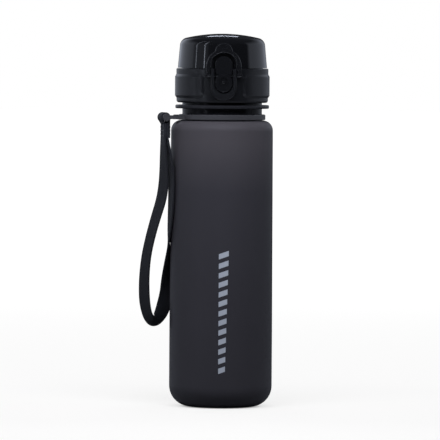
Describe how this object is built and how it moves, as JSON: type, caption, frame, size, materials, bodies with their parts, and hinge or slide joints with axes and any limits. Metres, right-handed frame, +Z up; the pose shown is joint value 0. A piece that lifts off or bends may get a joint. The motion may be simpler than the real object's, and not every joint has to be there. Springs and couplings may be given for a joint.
{
  "type": "sports drinking bottle",
  "caption": "Tall round drinking bottle with a screw lid, a hinged flip cover held by a push latch and lock bail, and a wrist strap on a loose neck ring.",
  "frame": {"origin": "centre of the foot, on the surface that the bottle stands on", "axes": "+Z up along the bottle's axis; -Y is the front, where the latch is; the strap hangs on the -X side"},
  "size_m": [0.0843, 0.0655, 0.2342],
  "materials": {
    "frosted_plastic": "frosted, slightly see-through dark grey",
    "matte_black": "fine matt moulded black",
    "gloss_black": "polished black",
    "satin_black": "satin moulded black",
    "steel": "bright drawn wire",
    "dark_steel": "blackened drawn wire",
    "matte_grey": "fine matt moulded dark grey",
    "silicone": "soft light grey silicone",
    "liner_plastic": "satin moulded dark grey",
    "webbing": "flat woven black webbing"
  },
  "bodies": {
    "bottle": {"bottle_body": "frosted_plastic"},
    "neck_ring": {"strap_ring": "matte_grey"},
    "strap": {"wrist_strap": "webbing"},
    "lid_seal": {"lid_gasket": "silicone"},
    "lid": {"lid_base": "matte_black", "spout": "liner_plastic", "spout_oring": "silicone", "hinge_pin": "steel", "hinge_spring": "steel", "latch_pin": "dark_steel", "latch_spring": "steel"},
    "cover": {"flip_cover": "gloss_black", "cover_liner": "liner_plastic", "spout_seal": "silicone", "vent_plug": "silicone"},
    "latch": {"latch_button": "satin_black"},
    "bail": {"lock_bail": "satin_black"}
  },
  "joints": [
    {"name": "ring_spin", "type": "hinge", "parent": "bottle", "child": "neck_ring", "pos_m": [0, 0, 0.1819], "axis": [0, 0, 1], "continuous": true},
    {"name": "strap_swing", "type": "hinge", "parent": "neck_ring", "child": "strap", "pos_m": [-0.03666, -0.0088, 0.1817], "axis": [-0.2334, 0.9724, 0], "range_deg": [0, 135]},
    {"name": "lid_lift", "type": "slide", "parent": "bottle", "child": "lid_seal", "axis": [0, 0, 1], "range_m": [0, 0.00751]},
    {"name": "lid_turn", "type": "hinge", "parent": "lid_seal", "child": "lid", "pos_m": [0, 0, 0.2], "axis": [0, 0, 1], "range_deg": [0, 540]},
    {"name": "cover_open", "type": "hinge", "parent": "lid", "child": "cover", "pos_m": [0, 0.0302, 0.2126], "axis": [-1, 0, 0], "range_deg": [0, 125], "deforming": ["hinge_spring"]},
    {"name": "button_press", "type": "hinge", "parent": "lid", "child": "latch", "pos_m": [0, -0.0302, 0.208], "axis": [1, 0, 0], "range_deg": [0, 6], "stiffness_Nm_per_rad": 0.15, "springref_deg": -3.44, "deforming": ["latch_spring"]},
    {"name": "bail_swing", "type": "hinge", "parent": "lid", "child": "bail", "pos_m": [0, -0.0302, 0.208], "axis": [1, 0, 0], "range_deg": [0, 160]}
  ],
  "couplings": [
    {"joint": "lid_lift", "follows": "lid_turn", "m_per_rad": 0.00079577}
  ]
}
